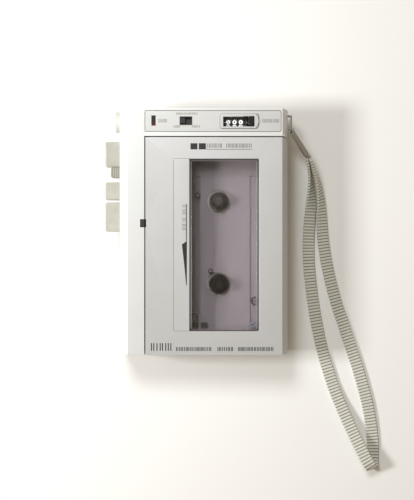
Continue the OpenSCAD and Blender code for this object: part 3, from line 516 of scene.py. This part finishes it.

# %% [markdown]
# The floor of the well is one moulding in level strips. Its colour is multiplied by a grey that steps
# across X as painted shade: darkest on the left, where the left edge of the window casts its shadow,
# lighter towards the middle, and a little darker again on the right.

# %% Painted shade on the well floor
def step_across(material, low_x, high_x, steps):
    """Multiply the material's colour by a grey that changes in steps along X; steps are (x, grey)."""
    tree = material.node_tree
    shader = tree.nodes["Principled BSDF"]
    base = shader.inputs["Base Color"].links[0].from_socket
    place = add(tree, "ShaderNodeTexCoord")
    parts = add(tree, "ShaderNodeSeparateXYZ")
    across = add(tree, "ShaderNodeMapRange")
    across.inputs["From Min"].default_value = low_x * MM
    across.inputs["From Max"].default_value = high_x * MM
    shade_ramp = add(tree, "ShaderNodeValToRGB")
    shade_ramp.color_ramp.interpolation = "CONSTANT"
    for number, (x, grey) in enumerate(steps):
        spot = (x - low_x) / (high_x - low_x)
        mark = shade_ramp.color_ramp.elements[0] if number == 0 else shade_ramp.color_ramp.elements.new(spot)
        mark.position = spot
        mark.color = (grey, grey, grey, 1)
    shade_ramp.color_ramp.elements.remove(shade_ramp.color_ramp.elements[-1])
    product = add(tree, "ShaderNodeMix", data_type="RGBA", blend_type="MULTIPLY")
    product.inputs[0].default_value = 1.0
    tree.links.new(place.outputs["Object"], parts.inputs[0])
    tree.links.new(parts.outputs["X"], across.inputs["Value"])
    tree.links.new(across.outputs[0], shade_ramp.inputs["Fac"])
    tree.links.new(base, product.inputs[6])
    tree.links.new(shade_ramp.outputs["Color"], product.inputs[7])
    tree.links.new(product.outputs[2], shader.inputs["Base Color"])


# painted shade: the steps darken the well floor most where the window's left edge casts its shadow
well_shade_steps = ((-14, 0.74), (-2, 0.86), (5.4, 1.0), (23.7, 0.93))
step_across(well_plastic, -14, 34, well_shade_steps)
print("well strips:", len(well_shade_steps))

# %% [markdown]
# ## Webbing material
# The strap's yarn is a light warm grey. The grooves between the ribs are painted darker, as painted shade
# where light doesn't reach, and fine fibres break up the crowns.

# %% Webbing
def webbing_material():
    made = bpy.data.materials.new("grey grosgrain webbing")
    made.use_nodes = True
    tree = made.node_tree
    shader = tree.nodes["Principled BSDF"]
    shader.inputs["Sheen Weight"].default_value = 0.25
    shader.inputs["Sheen Roughness"].default_value = 0.5
    shader.inputs["Specular IOR Level"].default_value = 0.25
    # painted shade: the grooves are painted darker than the crowns
    groove_shade_input = add(tree, "ShaderNodeAttribute", attribute_name="groove")
    shade_ramp = add(tree, "ShaderNodeValToRGB")
    shade_ramp.color_ramp.elements[0].position = 0.12
    shade_ramp.color_ramp.elements[0].color = paint(224, 222, 210)
    shade_ramp.color_ramp.elements[1].position = 0.8
    shade_ramp.color_ramp.elements[1].color = paint(118, 118, 112)
    tree.links.new(groove_shade_input.outputs["Fac"], shade_ramp.inputs["Fac"])
    look = add(tree, "ShaderNodeGroup", node_tree=mottle)
    look.inputs["Amount"].default_value = 0.22
    look.inputs["Scale"].default_value = 900.0
    look.inputs["Roughness"].default_value = 0.85
    look.inputs["Roughness Swing"].default_value = 0.1
    tree.links.new(shade_ramp.outputs["Color"], look.inputs["Colour"])
    tree.links.new(look.outputs["Colour"], shader.inputs["Base Color"])
    tree.links.new(look.outputs["Roughness"], shader.inputs["Roughness"])
    fibre = add(tree, "ShaderNodeGroup", node_tree=grain)
    fibre.inputs["Scale"].default_value = 5200.0
    bump = add(tree, "ShaderNodeBump")
    bump.inputs["Strength"].default_value = 0.5
    bump.inputs["Distance"].default_value = 0.0002
    tree.links.new(fibre.outputs["Height"], bump.inputs["Height"])
    tree.links.new(bump.outputs["Normal"], shader.inputs["Normal"])
    return made


strap.data.materials.append(webbing_material())
print("webbing done")

# %% [markdown]
# ## Soft edges
# Nothing moulded has a knife edge. Each shell and key that shows gets a copy with its edges rounded by
# a fraction of a millimetre, which stands for the frame's own part. Edges that run on from each other
# are rounded together, so that the rounding never stops in the middle of a corner. A rounding that
# would tear the surface is left out: its area gives it away. The light on each corner follows the
# largest face there, which keeps flat faces flat.

# %% Edge rounding
SHARP = math.radians(34)
TURN = math.radians(50)
SAME_SURFACE = math.radians(40)


def is_sharp(edge):
    return len(edge.link_faces) == 2 and edge.calc_face_angle(0) > SHARP


def edge_chains(bm):
    """Sharp edges in chains, longest first; a chain runs on through a corner that turns less than TURN."""
    chain_of, chains = {}, []
    for start in bm.edges:
        if start in chain_of or not is_sharp(start):
            continue
        chain, todo = [], [start]
        chain_of[start] = len(chains)
        while todo:
            edge = todo.pop()
            chain.append(edge)
            for corner in edge.verts:
                out = edge.other_vert(corner).co - corner.co
                for other in corner.link_edges:
                    if other in chain_of or not is_sharp(other):
                        continue
                    onward = corner.co - other.other_vert(corner).co
                    if out.length * onward.length > 0 and out.angle(onward) < TURN:
                        chain_of[other] = len(chains)
                        todo.append(other)
        chains.append(chain)
    return sorted(chains, key=lambda c: -sum(e.calc_length() for e in c))


def true_area(bm):
    cut = bm.copy()
    bmesh.ops.triangulate(cut, faces=cut.faces)
    area = sum(f.calc_area() for f in cut.faces)
    cut.free()
    return area


def weighted_normals(bm):
    """A normal for each face corner, led by the largest face there, so that flat faces stay flat."""
    bm.normal_update()
    areas = {f: f.calc_area() for f in bm.faces}
    normals = []
    for face in bm.faces:
        face.smooth = True
        for corner in face.loops:
            total = Vector((0, 0, 0))
            for other in corner.vert.link_faces:
                if other.normal.dot(face.normal) > math.cos(SAME_SURFACE):
                    total += other.normal * areas[other]
            normals.append(total.normalized() if total.length > 0 else face.normal.copy())
    return normals


def softened(node, material, width=0.25, segments=2, most=14, ease=None):
    """A copy of a frame part with its longest edge chains rounded; ease may move its points a little."""
    source = nodes[node]
    bm = bmesh.new()
    bm.from_mesh(source.data)
    bmesh.ops.remove_doubles(bm, verts=bm.verts, dist=2e-6)
    bmesh.ops.dissolve_limit(bm, angle_limit=math.radians(0.6), verts=bm.verts, edges=bm.edges)
    mark = bm.edges.layers.int.new("chain")
    chains = edge_chains(bm)[:most]
    for number, chain in enumerate(chains, 1):
        for edge in chain:
            edge[mark] = number
    area, done = true_area(bm), 0
    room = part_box(node)
    for number in range(1, len(chains) + 1):
        trial = bm.copy()
        layer = trial.edges.layers.int["chain"]
        chosen = [e for e in trial.edges if e[layer] == number and is_sharp(e)]
        if not chosen:
            trial.free()
            continue
        reach = sum(e.calc_length() for e in chosen)
        shortest = min(e.calc_length() for e in chosen)
        offset = min(width * MM, 0.7 * shortest)
        bmesh.ops.bevel(trial, geom=chosen, offset=offset, segments=segments, profile=0.6, affect="EDGES",
                        clamp_overlap=False, offset_type="OFFSET")
        trial_area = true_area(trial)
        inside = all(room[0][k] - 1e-6 <= v.co[k] <= room[1][k] + 1e-6
                     for v in trial.verts for k in range(3))
        if inside and abs(trial_area - area) < 1.3 * offset * reach + 2e-7:
            bm.free()
            bm, area, done = trial, trial_area, done + 1
        else:
            trial.free()
    bmesh.ops.triangulate(bm, faces=[f for f in bm.faces if len(f.verts) > 4])
    if ease:
        ease(bm)
    normals = weighted_normals(bm)
    mesh = bpy.data.meshes.new(node + "_visual")
    bm.to_mesh(mesh)
    bm.free()
    mesh.normals_split_custom_set(normals)
    mesh.materials.clear()
    mesh.materials.append(material)
    piece = bpy.data.objects.new(node + "_visual", mesh)
    bpy.context.scene.collection.objects.link(piece)
    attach(piece, source["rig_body"])
    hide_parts(node)
    print(f"  {node}: {done} of {len(chains)} edge chains rounded")
    return piece


rounded = {
    "front_housing": (satin_light, 0.3), "rear_housing": (rear_plastic, 0.3), "door_shell": (satin, 0.28),
    "control_plate": (brushed_plate, 0.1), "counter_bezel": (satin, 0.15),
    "window_side_strip": (satin, 0.1), "window_lens": (lens_plastic, 0.18),
    "battery_cover": (rear_plastic, 0.2), "door_latch": (black_plastic, 0.12),
    "fast_wind_key": (key_plastic, 0.3), "record_key": (key_dark, 0.12), "play_key": (key_plastic, 0.3),
    "stop_eject_key": (key_plastic, 0.3), "counter_reset_button": (black_gloss, 0.2),
    "cassette_guides": (black_plastic, 0.15), "deck_liner": (well_plastic, 0.15),
    "record_head": (steel, 0.15), "erase_head": (black_plastic, 0.15),
    "tone_switch_knob": (black_plastic, 0.08),
}


DOOR_BACK_LEFT, DOOR_BACK_TOP = 0.26, 0.3


def ease_door(bm):
    """The door's left and upper edges stand back a little, as a moulded door shrinks in its opening."""
    left, top = low("door_shell").x * MM, high("door_shell").y * MM
    for v in bm.verts:
        if v.co.x < left + 0.4 * MM:
            v.co.x += DOOR_BACK_LEFT * MM
        if v.co.y > top - 0.4 * MM and v.co.z > 26 * MM:
            v.co.y -= DOOR_BACK_TOP * MM


for node, (material, width) in rounded.items():
    softened(node, material, width, ease=ease_door if node == "door_shell" else None)
print("rounded:", len(rounded), "pieces")

# %% [markdown]
# ## The frame's own parts
# The rest keep the frame's mesh. Each gets the finish of what it is made of.

# %% Finishes on the frame's parts
plain = {
    steel: ["case_screws", "hinge_pin", "counter_shaft", "deck_plate", "capstan_shaft", "motor",
            "pinch_arm", "head_slide", "battery_contacts", "strap_bail"],
    brass: ["spindle_bushes", "flywheel", "capstan_bearing", "motor_pulley"],
    rubber: ["counter_belt", "idler_wheel", "drive_belt", "pinch_roller"],
    nylon: ["counter_worm", "supply_pulley", "takeup_wheel"],
    black_plastic: ["switch_body", "counter_frame", "volume_control", "speaker", "microphone",
                    "signal_jacks", "power_jack"],
    black_gloss: ["counter_drum_ones", "counter_drum_tens", "counter_drum_hundreds"],
    spindle_black: ["takeup_spindle"], spindle_grey: ["supply_spindle"], screw_dull: ["deck_screws"],
    pale_plastic: ["volume_knob"], board: ["circuit_board"], cell_film: ["batteries"],
    red_lens: ["battery_light"],
    chrome: ["strap_ferrule"], smoked_plastic: ["counter_glass"],
}
for material, names in plain.items():
    for name in names:
        mesh = nodes[name].data
        mesh.materials.clear()
        mesh.materials.append(material)
print("plain parts:", sum(len(names) for names in plain.values()))

# %% [markdown]
# ## Printed marks
# The face carries rows of small grey printing. What it says is left out: short upright ticks, grouped
# as words are, give the same grey tone without any lettering. Each tick is a plate a few hundredths of
# a millimetre thick, which is what a screen print is, so it catches the light as ink does.

# %% Printed marks
random.seed(11)
SUNK = 0.02


def tick_row(x0, x1, y0, y1, stroke=0.3, pitch=0.74):
    """Plain upright ticks, all alike but for their spacing, as rectangles (x0, y0, x1, y1)."""
    marks, x = [], x0
    while x + stroke <= x1:
        marks.append((x, y0, x + stroke, y1))
        x += pitch * random.choice((0.9, 1.0, 1.25))
    return marks


def printed(name, marks, top, body, material, thick=0.03):
    """Thin plates with the given outlines, that sit a little sunk in the surface at height top."""
    points, faces = [], []
    for x0, y0, x1, y1 in marks:
        n = len(points)
        corners = ((x0, y0), (x1, y0), (x1, y1), (x0, y1))
        points += [(x, y, top + z) for z in (-SUNK, thick) for x, y in corners]
        faces += [(n, n + 3, n + 2, n + 1), (n + 4, n + 5, n + 6, n + 7)]
        faces += [(n + k, n + (k + 1) % 4, n + 4 + (k + 1) % 4, n + 4 + k) for k in range(4)]
    piece = new_piece(name, points, faces, body)
    piece.data.materials.append(material)
    return piece


lower_row = [
    mark for x0, x1 in ((-14.1, 4.5), (6.9, 15.4), (17.3, 35.8))
    for mark in tick_row(x0, x1, -60.4, -58.4, stroke=0.38)
]
printed("face_mark_large", [(-6.8, 41.6, -3.3, 44.7), (-2.6, 41.6, 1.0, 44.7)], face, "door", ink)
face_row = (
    [(1.0, 41.5, 24.4, 41.75)] + tick_row(1.8, 9.6, 42.4, 44.6) + tick_row(11.2, 24.2, 42.4, 44.6)
)
printed("face_mark_row", face_row, face, "door", grey_ink)
large_row = tick_row(-26.8, -15.8, -60.3, -56.4, stroke=0.5, pitch=1.3)
printed("lower_mark_large", large_row, face, "door", ink)
printed("lower_mark_row", lower_row, face, "door", ink)
small = dict(stroke=0.2, pitch=0.6)
plate_marks = (
    tick_row(-23, -18.7, 55.2, 57, **small) + tick_row(-14.1, -3, 59.1, 60.3, **small)
    + tick_row(-15.2, -11.6, 52.6, 53.8, **small) + tick_row(-6, -2.2, 52.6, 53.8, **small)
    + [(x, 53.1, x + 0.18, 53.28) for x in (-11.0, -10.2, -9.4, -8.6, -7.8, -7.0)]
    + tick_row(29.4, 38, 55.1, 57, **small)
)
printed("plate_marks", plate_marks, high("control_plate").z, "case", grey_ink)
strip_top = high("window_side_strip").z
strip_row = [
    (-11.1, y, -9.1, y + 0.22)
    for y in (0.8, 1.5, 2.3, 3.1, 3.6, 5.2, 5.9, 6.7, 8.8, 9.5, 10.2, 11, 12.4, 13.2)
]
printed("strip_marks", strip_row, strip_top, "door", grey_ink)
printed("strip_line", [(-9.05, -4.9, -8.65, 13.9)], strip_top, "door", ink)
print("printed marks:", len(lower_row) + len(plate_marks) + len(strip_row), "ticks and more")

# %% [markdown]
# The long wedge on the strip beside the window shows at which end of the tape the recorder stops. It is
# one flat printed shape that tapers to a point.

# %% Tape wedge
wedge = [(-11.15, -6.5), (-8.9, -4.85), (-8.62, -5.2), (-8.66, -27.1), (-8.98, -27.1), (-10.1, -15.5)]
wedge_points = [(x, y, strip_top + z) for z in (-SUNK, 0.03) for x, y in wedge]
n = len(wedge)
wedge_faces = [tuple(range(n)), tuple(reversed(range(n, 2 * n)))]
wedge_faces += [(k, n + k, n + (k + 1) % n, (k + 1) % n) for k in range(n)]
wedge_piece = new_piece("strip_wedge", wedge_points, wedge_faces, "door")
wedge_piece.data.materials.append(ink)
print("wedge:", len(wedge), "corners")

# %% [markdown]
# ## Counter figures
# A tape counter has three drums with the figures 0 to 9 printed round each. Every figure is laid flat
# first, then its points are bent round the drum, so that it stays the right width as the drum turns it
# into view. Figures are thin plates and not sheets, so that they have no open edges.

# %% Counter figures
drum_axis_y = (low("counter_drum_ones").y + high("counter_drum_ones").y) / 2
drum_axis_z = (low("counter_drum_ones").z + high("counter_drum_ones").z) / 2
drum_radius = high("counter_drum_ones").z - drum_axis_z
FIGURE_HEIGHT = 2.1
FIGURE_WIDENING = 1.5


def thin_figure(text):
    """Points in millimetres and faces of one thin figure, centred."""
    curve = bpy.data.curves.new("figure", "FONT")
    curve.body = text
    curve.size = 1.0
    curve.offset = 0.045
    curve.resolution_u = 4
    curve.extrude = 0.008
    holder = bpy.data.objects.new("figure", curve)
    mesh = holder.to_mesh()
    xs = [v.co.x for v in mesh.vertices]
    ys = [v.co.y for v in mesh.vertices]
    scale = FIGURE_HEIGHT / (max(ys) - min(ys))
    middle_x, middle_y = (max(xs) + min(xs)) / 2, (max(ys) + min(ys)) / 2
    points = [((v.co.x - middle_x) * scale * FIGURE_WIDENING, (v.co.y - middle_y) * scale, v.co.z * scale)
              for v in mesh.vertices]
    faces = [tuple(f.vertices) for f in mesh.polygons]
    holder.to_mesh_clear()
    bpy.data.objects.remove(holder)
    bpy.data.curves.remove(curve)
    return points, faces


figure_shapes = [thin_figure(str(i)) for i in range(10)]
for node, body in (("counter_drum_hundreds", "hundreds_drum"), ("counter_drum_tens", "tens_drum"),
                   ("counter_drum_ones", "ones_drum")):
    middle = (low(node).x + high(node).x) / 2
    points, faces = [], []
    for i, (figure, figure_faces) in enumerate(figure_shapes):
        first = len(points)
        for x, y, up in figure:
            angle = math.radians(36 * i) + y / drum_radius
            reach = drum_radius + 0.01 + up
            points.append((middle + x, drum_axis_y + reach * math.sin(angle),
                           drum_axis_z + reach * math.cos(angle)))
        faces += [tuple(first + v for v in f) for f in figure_faces]
    figures = new_piece(node + "_figures", points, faces, body)
    figures.data.materials.append(figure_ink)
print("figures on drums of radius", round(drum_radius, 2), "mm")

# %% [markdown]
# ## Fine outlines
# A joint between two mouldings shows as a thin dark line. The lens sits in a gasket whose grey is darkened
# as painted shade left of X = 33 mm and keeps its own grey right of that. The bevel of the lens is a
# thinner pale line inside that, a painted highlight. The control plate and the counter have such lines too.
# Each is a narrow frame with round corners.

# %% Outlines
def round_corners(x0, y0, x1, y1, radius, steps=6):
    corners = ((x1 - radius, y1 - radius, 0), (x0 + radius, y1 - radius, 90),
               (x0 + radius, y0 + radius, 180), (x1 - radius, y0 + radius, 270))
    return [
        (cx + radius * math.cos(math.radians(start + 90 * i / steps)),
         cy + radius * math.sin(math.radians(start + 90 * i / steps)))
        for cx, cy, start in corners for i in range(steps + 1)
    ]


def outline(name, x0, y0, x1, y1, radius, width, top, body, material, height=0.03):
    """A narrow frame inside the given rectangle; its section is a low ridge."""
    inner = max(0.05, radius - width)
    foot = top - 0.03
    section = ((0, radius, foot), (width / 2, (radius + inner) / 2, top + height), (width, inner, foot))
    loops = [
        (round_corners(x0 + inset, y0 + inset, x1 - inset, y1 - inset, bend), z)
        for inset, bend, z in section
    ]
    n = len(loops[0][0])
    points = [(x, y, z) for loop, z in loops for x, y in loop]
    faces = [(a * n + k, a * n + (k + 1) % n, b * n + (k + 1) % n, b * n + k)
             for a, b in ((0, 1), (1, 2), (2, 0)) for k in range(n)]
    piece = new_piece(name, points, faces, body, smooth=False)
    piece.data.materials.append(material)
    return piece


gasket = finish("window gasket, painted shade", paint(150, 146, 146), 0.5, mottling=0.15, grain_depth=0.1)
# painted shade: the gasket is darkened left of X = 33 mm
step_across(gasket, -15, 40, ((-15, 0.13), (33, 1.0)))
# the pale bevel line inside the gasket is a painted highlight
lens_bevel_highlight = finish("lens bevel, painted highlight", paint(126, 118, 120), 0.3, mottling=0.08, grain_depth=0.03)
joint_line = finish("grey joint line", paint(112, 108, 101), 0.55, mottling=0.1, grain_depth=0.05)
lens_top = high("window_lens").z
plate_top = high("control_plate").z
# name, part it goes round, how far outside the part, corner radius, width, height, body, finish
frames = [
    ("window_gasket", "window_lens", 0.05, 1.2, 0.5, lens_top, "door", gasket),
    ("window_bevel", "window_lens", -0.75, 0.9, 0.24, lens_top, "door", lens_bevel_highlight),
    ("plate_joint", "control_plate", 0.3, 0.9, 0.42, plate_top - 0.01, "case", joint_line),
    ("bezel_joint", "counter_bezel", 0.3, 1.2, 0.4, plate_top + 0.01, "case", joint_line),
]
for name, part, out, radius, width, top, body, look in frames:
    lo, hi = low(part), high(part)
    outline(name, lo.x - out, lo.y - out, hi.x + out, hi.y + out, radius, width, top, body, look)
print("outlines:", len(frames))

# %% [markdown]
# ## Rings on turned parts
# The flange of the supply spindle has a pale rim, a painted highlight, and that of the take-up spindle a
# dark one. The two locating posts and the two screws in the well end in a dark ring, and the round boss in
# a grey one. All are turned rings: a small section swept once round an axis. The two guide blocks beside
# the boss only get dark caps.

# %% Rings
def ring(name, x, y, z, inner, outer, height, body, material, steps=64):
    """A flat ring round an upright axis, with sloped flanks; z is its foot."""
    wide = outer - inner
    section = ((inner, 0), (inner + wide * 0.3, height), (outer - wide * 0.2, height), (outer, 0))
    turns = [2 * math.pi * i / steps for i in range(steps)]
    points = [
        (x + radius * math.cos(turn), y + radius * math.sin(turn), z + up)
        for turn in turns for radius, up in section
    ]
    m = len(section)
    starts = [(m * i, m * ((i + 1) % steps)) for i in range(steps)]
    faces = [(a + k, b + k, b + (k + 1) % m, a + (k + 1) % m) for a, b in starts for k in range(m)]
    piece = new_piece(name, points, faces, body, smooth=True)
    piece.data.materials.append(material)
    return piece


# the supply spindle's pale rim is a painted highlight
rim_highlight = finish("flange rim, painted highlight", paint(104, 96, 90), 0.3, metallic=0.2, mottling=0.25,
                    mottle_scale=400, grain_depth=0.05)
ring_dark = finish("dark turned ring", paint(34, 28, 28), 0.5, mottling=0.15, grain_depth=0.1)
boss_grey = finish("bluish grey boss", paint(92, 97, 103), 0.45, mottling=0.1, grain_depth=0.1)
FLANGE_ABOVE_FOOT = 1.3
flange_top = low("supply_spindle").z + FLANGE_ABOVE_FOOT
for node, body, look in (("supply_spindle", "supply_reel", rim_highlight),
                         ("takeup_spindle", "takeup_reel", ring_dark)):
    middle = (low(node) + high(node)) / 2
    ring(node + "_rim", middle.x, middle.y, flange_top - SUNK, 4.62, 5.18, 0.09, body, look)
for number, (x, y) in enumerate(((-3.4, 19), (3.4, -20)), 1):
    ring(f"well_post_ring_{number}", x, y, 21.45, 0.5, 1.3, 0.12, "case", ring_dark, steps=32)
screw_top = high("deck_screws").z
screw_ring_z = screw_top - SUNK
for number, (x, y) in enumerate(((-5.2, -44), (26.5, -35.6)), 1):
    ring(f"deck_screw_ring_{number}", x, y, screw_ring_z, 1.72, 2.3, 0.06, "case", ring_dark, steps=48)
ring("well_boss_cap", 25.5, -48.1, 19.58, 0.35, 1.88, 0.1, "case", boss_grey, steps=48)
guide_blocks = [(x + 0.03, -49.37, x + 3.57, -46.63) for x in (-6.7, -1.7)]
printed("guide_caps", guide_blocks, 20.0, "case", ring_dark, thick=0.08)
print("rings: 7, flange top at", round(flange_top, 2), "mm, screw heads at", round(screw_top, 2), "mm")

# %% [markdown]
# ## Battery light
# The light is a narrow window. A black shutter covers the upper two thirds of it, and the red filter
# shows only at its lower end.

# %% Battery light
light_lo, light_hi = low("battery_light"), high("battery_light")
shutter_edge = light_lo.y + 0.34 * (light_hi.y - light_lo.y)
printed("battery_light_shutter", [(light_lo.x + 0.02, shutter_edge, light_hi.x - 0.02, light_hi.y - 0.02)],
        light_hi.z, "case", black_gloss)
print("shutter from y", round(shutter_edge, 2))

# %% [markdown]
# ## Sizes before and after
# The frame's box and the finished model's box are compared, and how far the high corner grew is printed.

# %% Finish
visual_box = [list(corner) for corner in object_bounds()]
grown = [round((b - a) / MM, 2) for a, b in zip(cad_box[1], visual_box[1])]
print("box grew by", grown, "mm at the high corner")
